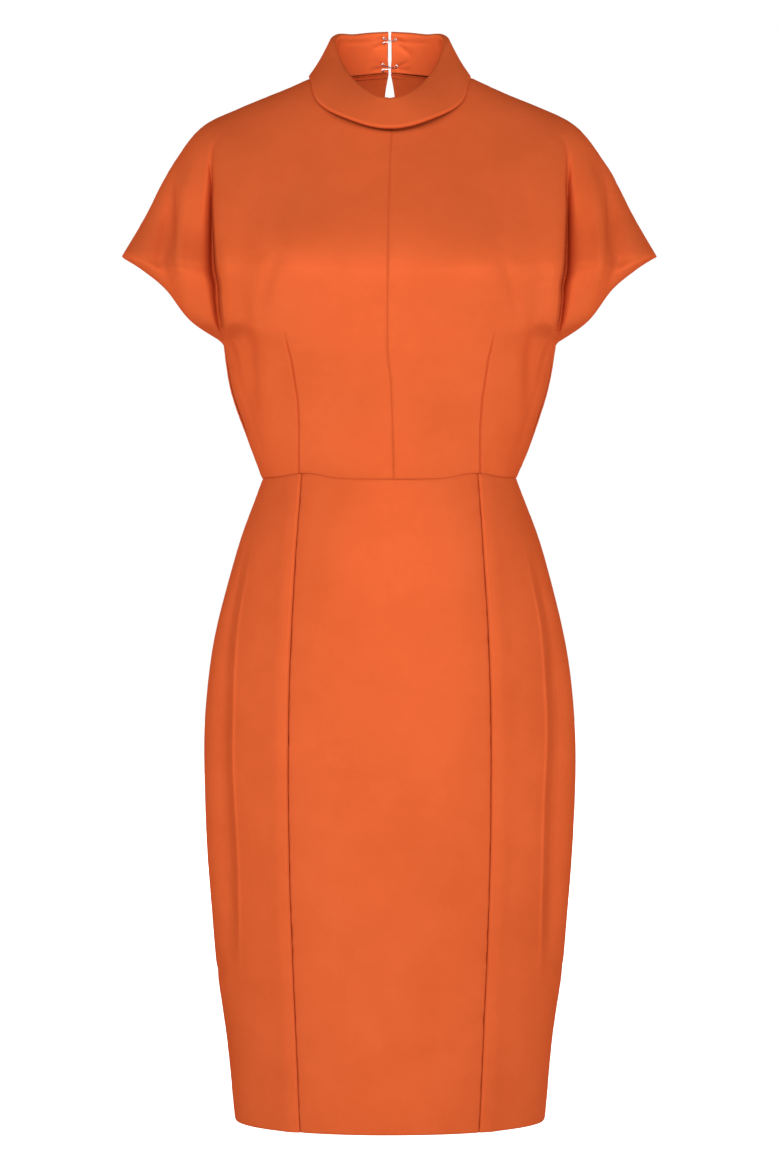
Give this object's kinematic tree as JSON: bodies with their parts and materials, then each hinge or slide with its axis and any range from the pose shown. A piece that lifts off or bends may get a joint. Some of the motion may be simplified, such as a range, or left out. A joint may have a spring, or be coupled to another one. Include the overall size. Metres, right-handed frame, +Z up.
{
  "type": "sheath dress",
  "caption": "Fitted knee-length dress with a turn-down collar, sleeves cut in one with the bodice, a waist seam and a slim skirt, worn form",
  "frame": {"origin": "midway between the two high shoulder points, where the wearer's shoulders hold the dress up", "axes": "+Z up from the hem to the neck, -Y out of the front of the dress, +X towards the wearer's left"},
  "size_m": [0.534, 0.2643, 1.0985],
  "materials": {
    "crepe": "satin-backed crepe, dull side out",
    "hook_wire": "bright nickel-plated wire",
    "zip_paint": "semi-gloss paint in the cloth's colour"
  },
  "bodies": {
    "dress": {"bodice_front_left": "crepe", "bodice_front_right": "crepe", "bodice_back_left": "crepe", "bodice_back_right": "crepe", "collar": "crepe", "skirt_front_centre": "crepe", "skirt_front_side_left": "crepe", "skirt_front_side_right": "crepe", "skirt_back_left": "crepe", "skirt_back_right": "crepe", "hook_top": "hook_wire", "eye_top": "hook_wire", "hook_neck": "hook_wire", "eye_neck": "hook_wire", "zip_slider": "zip_paint"},
    "pull": {"zip_pull": "zip_paint"}
  },
  "joints": [
    {"name": "zip_pull_hinge", "type": "hinge", "parent": "dress", "child": "pull", "pos_m": [0, 0.11466, -0.1215], "axis": [1, 0, 0], "range_deg": [0, 160]}
  ]
}
